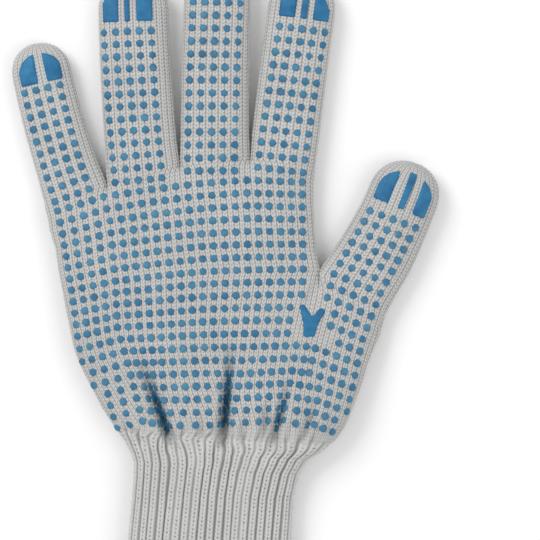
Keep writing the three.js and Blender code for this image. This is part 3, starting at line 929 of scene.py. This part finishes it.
# Dots on the palm: columns 1 to 22 and rows 1 to 20, through these guide points
GUIDE_COLUMNS = [1, 5, 9, 13, 17, 22]
GUIDE_ROWS = [1, 3, 8, 12, 16, 20]
GUIDE = [
    [(-62.8, 151.6), (-44.4, 157.2), (-25.2, 160.2), (-6.1, 162.4), (12.8, 163.8), (34.8, 163.2)],
    [(-60.8, 142.4), (-41.8, 147.6), (-23.8, 150.3), (-5.6, 152.4), (12.8, 153.6), (34.8, 153.2)],
    [(-57.2, 120.0), (-39.6, 123.6), (-22.3, 125.6), (-4.7, 127.4), (13.2, 128.0), (35.2, 128.4)],
    [(-54.8, 101.6), (-38.8, 105.2), (-21.4, 106.2), (-4.8, 107.4), (12.4, 108.0), (34.0, 108.0)],
    [(-51.2, 81.2), (-33.4, 86.2), (-20.8, 86.4), (-3.3, 87.0), (10.2, 86.8), (30.8, 88.0)],
    [(-48.0, 62.4), (-28.6, 68.0), (-19.2, 66.2), (-1.9, 66.4), (7.2, 67.2), (27.6, 68.4)],
]

LAST_ROW = 20
# Between them and the thumb: first row, height of row 14, and place across by row
SHORT_COLUMNS = [
    (14, 97.6, [14, 16, 18, 20], [36.4, 34.6, 33.0, 32.2]),
    (17, 97.0, [17, 18, 20], [37.7, 37.0, 36.5]),
]
# In the gathers: first place, step and number
GATHER_DOTS = [(0.42, 0.033, 11), (0.38, 0.035, 11), (0.36, 0.065, 5)]

# Dots on the thumb and below it: columns 24 to 28 and rows 2 to 20
THUMB_COLUMNS = [24, 28]
THUMB_ROWS = [2, 8, 12, 14, 16, 20]
THUMB_GUIDE = [
    [(62.0, 151.6), (80.0, 144.8)],
    [(47.6, 126.4), (66.0, 118.8)],
    [(42.0, 107.6), (58.8, 100.4)],
    [(40.0, 96.8), (56.8, 90.8)],
    [(37.6, 87.2), (54.8, 81.2)],
    [(36.0, 68.0), (50.4, 62.0)],
]


def along_guide(guide, guide_rows, row):
    """The guide points of one row, between the rows of the table."""
    table = np.array(guide, dtype=float)
    return np.stack([[np.interp(row, guide_rows, table[:, c, k]) for k in range(2)]
                     for c in range(table.shape[1])])


def dot_places():
    places = []
    for name, (start, pitch, count, first, step, columns, drift) in STALL_DOTS.items():
        for row in range(count):
            along = start + pitch * row
            moved = drift * max(along, 0) / (0.7 * STALLS[name][2])
            for column in range(columns):
                point = on_stall(name, along, first + step * column + moved)
                places.append(stall_place(name, point))
    for row in range(1, LAST_ROW + 1):
        line = along_guide(GUIDE, GUIDE_ROWS, row)
        x = np.linspace(line[0, 0], line[-1, 0], 900)
        y = np.interp(x, line[:, 0], line[:, 1])
        # The first rows cross the dips below the crotches, which don't draw the dots together
        share = min(1.0, (row - 1) / 3)
        length = arc(np.column_stack([x, y, share * palm_surface(x, y)]))
        marks = np.interp(line[:, 0], x, length)
        for column in range(GUIDE_COLUMNS[0], GUIDE_COLUMNS[-1] + 1):
            at = np.interp(column, GUIDE_COLUMNS, marks)
            places.append(("palm", np.interp(at, length, x), np.interp(at, length, y)))
        # Two short columns between the palm's and the thumb's
        for first, height, marks, shifts in SHORT_COLUMNS:
            if row >= first:
                places.append(("palm", np.interp(row, marks, shifts), height - 5.1 * (row - 14)))
    # Dots crowded together at the bottom of the three large gathers
    for (top, foot, _, _, _), (start, step, count) in zip(GATHERS, GATHER_DOTS):
        for i in range(count):
            x, y = mix(place(top), place(foot), start + step * i)
            places.append(("palm", x + 1.1 * math.sin(2.4 * i), y))
    for row in range(THUMB_ROWS[0], LAST_ROW + 1):
        line = along_guide(THUMB_GUIDE, THUMB_ROWS, row)
        for column in range(THUMB_COLUMNS[0], THUMB_COLUMNS[1] + 1):
            if (row >= 17 and column == THUMB_COLUMNS[0]) or (row >= 19 and column == THUMB_COLUMNS[1]):
                continue
            point = [np.interp(column, THUMB_COLUMNS, line[:, k]) for k in range(2)]
            places.append(stall_place("thumb", point) if row <= 10 else ("palm", *point))
    return places


def stall_place(name, point):
    """Where a point of the plan lies on a stall's own grid, or on the palm below its root."""
    steps, points, angles = AXES[name]
    away = np.hypot(points[:, 0] - point[0], points[:, 1] - point[1])
    i = int(away.argmin())
    ahead = np.array([math.sin(angles[i]), math.cos(angles[i])])
    along = steps[i] + float((np.array(point) - points[i]) @ ahead)
    for _ in range(12):
        left, right = stall_frame(name, max(along, 0.0), 1.0)
        span = right - left
        share = float((point - left) @ span) / float(span @ span)
        off = point - (left + share * span)
        _, angle = axis_at(name, along)
        along += float(off @ np.array([math.sin(angle), math.cos(angle)]))
    if along < 0.3:
        return "palm", point[0], point[1]
    return "stall", name, (share - 0.5) * np.hypot(*span), along


def inside_palm(x, y, margin):
    by_thumb = x > THUMB_INNER[0] - 3 and y > THUMB_EDGE[1] - 1
    if x - edge_left(y) < margin or (edge_right(y) - x < margin and not by_thumb):
        return False
    return y > wrist_line(x) + 2


def in_patch(x, y):
    foot = place(PATCH_FOOT)
    return -1.2 < x - foot[0] < PATCH_WIDTH + 1.2 and -1.5 < y - foot[1] < PATCH_HEIGHT + 0.8


PATCH_WIDTH = 10.8
PATCH_HEIGHT = 13
PATCH_FOOT = (0.322, 0.369)
PATCH_OUTLINE = [(0.17, 0.0), (0.58, 0.0), (0.7, 0.37), (1.0, 0.82), (0.8, 0.9), (0.49, 0.62),
                 (0.21, 1.0), (0.0, 0.98), (0.15, 0.45)]
DOT_RADIUS = 1.5
DOT_RISE = 0.62
DOT_LIFT = 0.12
DOT_SIDES = 14
# Rings of a dot: share of its radius and height
DOT_RINGS = [(1.0, -0.2), (0.98, 0.26), (0.86, 0.45), (0.55, 0.58)]


def make_dots():
    rng = np.random.default_rng(23)
    angle, cosine, sine = circle(DOT_SIDES)
    verts = []
    faces = []
    start = 0
    for kind, *spot in dot_places():
        if kind == "stall":
            name, across, along = spot
            near = stall_surface(name, [across, across + 0.5, across], [along, along, along + 0.5])
        else:
            x, y = spot
            if not inside_palm(x, y, 1.0) or in_patch(x, y):
                continue
            near = on_palm(np.array([[x, y], [x + 0.4, y], [x, y + 0.4]]))
        at, side, ahead = near
        u = side - at
        normal = np.cross(u, ahead - at)
        normal /= max(np.linalg.norm(normal), 1e-9)
        u /= max(np.linalg.norm(u), 1e-9)
        v = np.cross(normal, u)
        size = DOT_RADIUS * rng.uniform(0.94, 1.06)
        tall = DOT_RISE * rng.uniform(0.85, 1.1)
        turn = rng.uniform(0, 6.28)
        wobble = 1 + 0.04 * np.sin(3 * angle + turn) + 0.03 * np.sin(5 * angle + 2 * turn)
        for share, rise in DOT_RINGS:
            verts.append(at + (share * size * wobble * cosine)[:, None] * u
                         + (share * size * wobble * sine)[:, None] * v
                         + normal * (rise * tall / DOT_RISE + DOT_LIFT))
        verts.append((at + normal * (tall + DOT_LIFT))[None, :])
        faces += grid_faces(len(DOT_RINGS), DOT_SIDES, start)
        last = start + (len(DOT_RINGS) - 1) * DOT_SIDES
        apex = last + DOT_SIDES
        faces += [[last + i, last + (i + 1) % DOT_SIDES, apex] for i in range(DOT_SIDES)]
        start = apex + 1
    return new_object("grip_dots", np.vstack(verts), faces)


# Printed pads and the patch: low pillows that follow the knit

def to_outline(points, outline):
    start = np.asarray(outline)
    end = np.roll(start, -1, axis=0)
    span = end - start
    away = points[:, None, :] - start[None, :, :]
    t = np.clip((away * span).sum(-1) / np.maximum((span * span).sum(-1), 1e-9), 0, 1)
    foot = start + t[..., None] * span
    return np.hypot(points[:, None, 0] - foot[..., 0], points[:, None, 1] - foot[..., 1]).min(axis=1)


def within(points, outline):
    x, y = points[:, 0], points[:, 1]
    inside = np.zeros(len(points), dtype=bool)
    for (x0, y0), (x1, y1) in zip(outline, np.roll(outline, -1, axis=0)):
        cross = (y0 > y) != (y1 > y)
        with np.errstate(divide="ignore", invalid="ignore"):
            at = (x1 - x0) * (y - y0) / (y1 - y0) + x0
        inside ^= cross & (x < at)
    return inside


def rounded(outline, cut):
    """Rounds the corners of an outline and spreads points along it."""
    points = np.asarray(outline, dtype=float)
    result = []
    count = len(points)
    for i in range(count):
        before, here, after = points[i - 1], points[i], points[(i + 1) % count]
        to_before = before - here
        to_after = after - here
        reach_b = min(cut, np.hypot(*to_before) * 0.4)
        reach_a = min(cut, np.hypot(*to_after) * 0.4)
        first = here + to_before / np.hypot(*to_before) * reach_b
        last = here + to_after / np.hypot(*to_after) * reach_a
        for t in (0, 0.33, 0.67, 1):
            result.append((1 - t) ** 2 * first + 2 * t * (1 - t) * here + t * t * last)
    closed = np.vstack([result, result[:1]])
    steps = np.hypot(*np.diff(closed, axis=0).T)
    length = np.concatenate([[0], np.cumsum(steps)])
    total = int(length[-1] / 0.45)
    wanted = np.arange(total) / total * length[-1]
    return np.column_stack([np.interp(wanted, length, closed[:, k]) for k in range(2)])


PRINT_STEP = 0.5
PRINT_RISE = 0.8


def make_print(name, outline, surface, cut):
    """A low pillow of print inside an outline on a surface."""
    edge = rounded(outline, cut)
    low, high = edge.min(axis=0), edge.max(axis=0)
    gx, gy = np.meshgrid(np.arange(low[0], high[0], PRINT_STEP),
                         np.arange(low[1], high[1], PRINT_STEP))
    inner = np.column_stack([gx.ravel(), gy.ravel()])
    inner = inner[within(inner, edge)]
    inner = inner[to_outline(inner, edge) > 0.3]
    verts = [Vector(p) for p in np.vstack([edge, inner]).tolist()]
    edges = [(i, (i + 1) % len(edge)) for i in range(len(edge))]
    found = geometry.delaunay_2d_cdt(verts, edges, [list(range(len(edge)))], 1, 1e-6)
    flat = np.array([[p.x, p.y] for p in found[0]])
    faces = [list(face) for face in found[2]]
    away = to_outline(flat, edge)
    at = surface(flat)
    du = surface(flat + np.array([0.3, 0.0])) - at
    dv = surface(flat + np.array([0.0, 0.3])) - at
    normal = np.cross(du, dv)
    normal /= np.maximum(np.linalg.norm(normal, axis=1, keepdims=True), 1e-9)
    near = np.clip(away / 0.8, 0, 1)
    rise = 0.05 + PRINT_RISE * np.sqrt(1 - (1 - near) ** 2)
    weave = (0.07 * np.cos(flat[:, 0] * 2 * math.pi / 2.26)
             + 0.04 * np.cos(flat[:, 1] * 2 * math.pi / COURSE))
    points = at + normal * (rise + weave * near)[:, None]
    return new_object(name, points, faces)


# Pads: stall and edges across as shares of the half width at the tip
PAD_REACH = 0.65
PAD_MARGIN = 4.2
PAD_SPREAD = 1.15
PAD_SPREAD_RING = 1.3
PADS = {
    "little_pad_1": ("little_finger", -0.75, -0.13),
    "little_pad_2": ("little_finger", 0.15, 0.7),
    "ring_pad_1": ("ring_finger", -0.87, -0.41),
    "ring_pad_2": ("ring_finger", -0.24, -0.09),
    "ring_pad_3": ("ring_finger", 0.1, 0.57),
    "middle_pad_1": ("middle_finger", -0.74, -0.27),
    "middle_pad_2": ("middle_finger", -0.09, 0.08),
    "middle_pad_3": ("middle_finger", 0.25, 0.72),
    "index_pad_1": ("index_finger", -0.66, -0.17),
    "index_pad_2": ("index_finger", 0.0, 0.18),
    "index_pad_3": ("index_finger", 0.36, 0.84),
    "thumb_pad_1": ("thumb", -0.8, -0.33),
    "thumb_pad_2": ("thumb", -0.06, 0.14),
    "thumb_pad_3": ("thumb", 0.38, 0.77),
}


def pad_outline(stall, start, end):
    length, width, tip_width = STALLS[stall][2:5]
    half = tip_width / 2
    centre = length - half
    radius = half - PAD_MARGIN
    spread_out = PAD_SPREAD_RING if stall == "ring_finger" else PAD_SPREAD
    foot = length - PAD_REACH * width
    outline = [(start * half, foot), (end * half, foot)]
    for i in range(10, -1, -1):
        u = mix(start, end, i / 10) * half
        rise = math.sqrt(max(0.02, 1 - (u / (radius * spread_out)) ** 2))
        outline.append((u, centre + radius * rise))
    return outline


def make_prints():
    made = []
    for name, (stall, start, end) in PADS.items():
        def surface(flat, stall=stall):
            return stall_surface(stall, flat[:, 0], flat[:, 1])

        cut = 0.35 if end - start < 0.3 else 0.8
        made.append((make_print(name + "_print", pad_outline(stall, start, end), surface, cut), name))
    foot = place(PATCH_FOOT)
    outline = [(foot[0] + a * PATCH_WIDTH, foot[1] + b * PATCH_HEIGHT) for a, b in PATCH_OUTLINE]
    made.append((make_print("thumb_crotch_print", outline, on_palm, 0.9), "thumb_crotch_patch"))
    return made


# Materials

def new_material(name, **inputs):
    """A material with values for its shader, its node tree and that shader."""
    material = bpy.data.materials.new(name)
    material.use_nodes = True
    shader = material.node_tree.nodes["Principled BSDF"]
    for key, value in inputs.items():
        shader.inputs[key.replace("_", " ")].default_value = value
    return material, material.node_tree, shader


def node(tree, kind, settings=None, **inputs):
    """A node whose inputs are values or the outputs of other nodes."""
    made = tree.nodes.new(kind)
    for key, value in (settings or {}).items():
        setattr(made, key, value)
    for key, value in inputs.items():
        socket = made.inputs[key.replace("_", " ")]
        if isinstance(value, bpy.types.NodeSocket):
            tree.links.new(value, socket)
        else:
            socket.default_value = value
    return made


def noise(tree, where, scale, detail, roughness):
    made = node(tree, "ShaderNodeTexNoise", Vector=where, Scale=scale, Detail=detail,
                Roughness=roughness)
    return made.outputs["Fac"]


def finish_shader(tree, shader, colour, grain, strength, distance):
    """Gives the shader its colour and a fine bump."""
    bump = node(tree, "ShaderNodeBump", Strength=strength, Distance=distance, Height=grain)
    tree.links.new(colour, shader.inputs["Base Color"])
    tree.links.new(bump.outputs["Normal"], shader.inputs["Normal"])


def cotton(name, groove_shade_colour, high_colour, warm):
    material, tree, shader = new_material(name, Roughness=0.92, Specular_IOR_Level=0.2,
                                          Sheen_Weight=0.12, Sheen_Roughness=0.5)
    where = node(tree, "ShaderNodeTexCoord").outputs["Object"]
    # Painted shade: where the relief values are low, in the grooves and holes between stitches, the
    # colour moves to the darker first colour
    relief_and_shade = node(tree, "ShaderNodeAttribute", {"attribute_name": "relief_and_shade"}).outputs["Fac"]
    ramp = node(tree, "ShaderNodeMapRange", Value=relief_and_shade, From_Min=0.05, From_Max=0.75)
    depth = node(tree, "ShaderNodeMix", {"data_type": "RGBA"}, Factor=ramp.outputs["Result"],
                 A=(*groove_shade_colour, 1), B=(*high_colour, 1))
    flecks = node(tree, "ShaderNodeMapRange", Value=noise(tree, where, 420.0, 4.0, 0.7),
                  From_Min=0.35, From_Max=0.7, To_Min=0.0, To_Max=0.55)
    tint = node(tree, "ShaderNodeMix", {"data_type": "RGBA", "blend_type": "MULTIPLY"},
                Factor=flecks.outputs["Result"], A=depth.outputs["Result"], B=(*warm, 1))
    shade = node(tree, "ShaderNodeMapRange", Value=noise(tree, where, 55.0, 3.0, 0.6),
                 To_Min=0.9, To_Max=1.06)
    final = node(tree, "ShaderNodeVectorMath", {"operation": "SCALE"},
                 Vector=tint.outputs["Result"], Scale=shade.outputs["Result"])
    fibres = noise(tree, where, 2600.0, 5.0, 0.75)
    finish_shader(tree, shader, final.outputs["Vector"], fibres, 0.55, 0.00025)
    return material


def print_material(name, dark, light):
    material, tree, shader = new_material(name, Roughness=0.58, Specular_IOR_Level=0.28)
    where = node(tree, "ShaderNodeTexCoord").outputs["Object"]
    ramp = node(tree, "ShaderNodeValToRGB", Fac=noise(tree, where, 160.0, 2.0, 0.5))
    for element, position, colour in zip(ramp.color_ramp.elements, (0.3, 0.72), (dark, light)):
        element.position = position
        element.color = (*colour, 1)
    grain = noise(tree, where, 1500.0, 3.0, 0.6)
    finish_shader(tree, shader, ramp.outputs["Color"], grain, 0.3, 0.0002)
    return material


FLOOR, _, _ = new_material("pale_floor", Base_Color=(0.93, 0.93, 0.93, 1), Roughness=0.9,
                           Specular_IOR_Level=0.1)
# The knit's first colour is painted shade for the grooves and holes between stitches; the second is the
# yarn's own colour
KNIT = cotton("knit", (0.29, 0.29, 0.287), (0.6, 0.608, 0.6), (0.93, 0.89, 0.86))
# The thread's first colour is painted shade, taken mostly by the band under and between the loops
THREAD = cotton("hem_thread", (0.006, 0.034, 0.07), (0.026, 0.11, 0.2), (0.9, 0.92, 0.95))
PRINT = print_material("print", (0.012, 0.11, 0.255), (0.03, 0.195, 0.365))
DOT_PRINT = print_material("dot_print", (0.026, 0.13, 0.245), (0.07, 0.225, 0.355))


def dress(obj, material, slot, *nodes):
    obj.data.materials.clear()
    obj.data.materials.append(material)
    if nodes:
        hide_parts(*nodes)
    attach(obj, "root")


# Camera: straight above, through a long lens, with the frame of the photograph
FRAME_WIDTH = 216
LENS = 200
eye = metres([22.0, 128.0, 0.0])
camera_data = bpy.data.cameras.new("camera")
camera_data.lens = LENS
camera_data.sensor_width = 36
camera = bpy.data.objects.new("camera", camera_data)
camera.location = (eye[0], eye[1], LENS / 36 * FRAME_WIDTH / 1000 + 0.008)
camera_data.clip_end = 20
bpy.context.scene.collection.objects.link(camera)
bpy.context.scene.camera = camera

# Floor and light
floor_mesh = bpy.data.meshes.new("floor")
floor_mesh.from_pydata([(-3, -3, 0), (3, -3, 0), (3, 3, 0), (-3, 3, 0)], [], [(0, 1, 2, 3)])
floor = bpy.data.objects.new("floor", floor_mesh)
floor.location = (0, 0, -0.0004)
floor_mesh.materials.append(FLOOR)
bpy.context.scene.collection.objects.link(floor)

world = bpy.data.worlds.new("studio")
world.use_nodes = True
world.node_tree.nodes["Background"].inputs["Color"].default_value = (1, 1, 1, 1)
world.node_tree.nodes["Background"].inputs["Strength"].default_value = 0.7
bpy.context.scene.world = world


def softbox(name, at, size, power):
    light_data = bpy.data.lights.new(name, "AREA")
    light_data.shape = "SQUARE"
    light_data.size = size
    light_data.energy = power
    light = bpy.data.objects.new(name, light_data)
    light.location = at
    direction = Vector((0, 0, 0)) - Vector(at)
    light.rotation_euler = direction.to_track_quat("-Z", "Y").to_euler()
    bpy.context.scene.collection.objects.link(light)


softbox("key", (-0.75, 0.65, 0.95), 0.7, 9)
softbox("fill", (0.9, -0.3, 1.0), 0.9, 4)
bpy.context.scene.view_settings.view_transform = "Standard"

# The glove
stalls, upper_palm, lower_palm = make_hand()
for made_stall, replaced in stalls:
    dress(made_stall, KNIT, "knit", replaced)
dress(lower_palm, KNIT, "knit", "palm_body")
dress(upper_palm, KNIT, "knit")
dress(make_cuff(), KNIT, "knit", "rib_cuff")
dress(make_hem(), THREAD, "hem_thread", "overlock_hem")
for made_print, replaced in make_prints():
    dress(made_print, PRINT, "print", replaced)
dress(make_dots(), DOT_PRINT, "print")
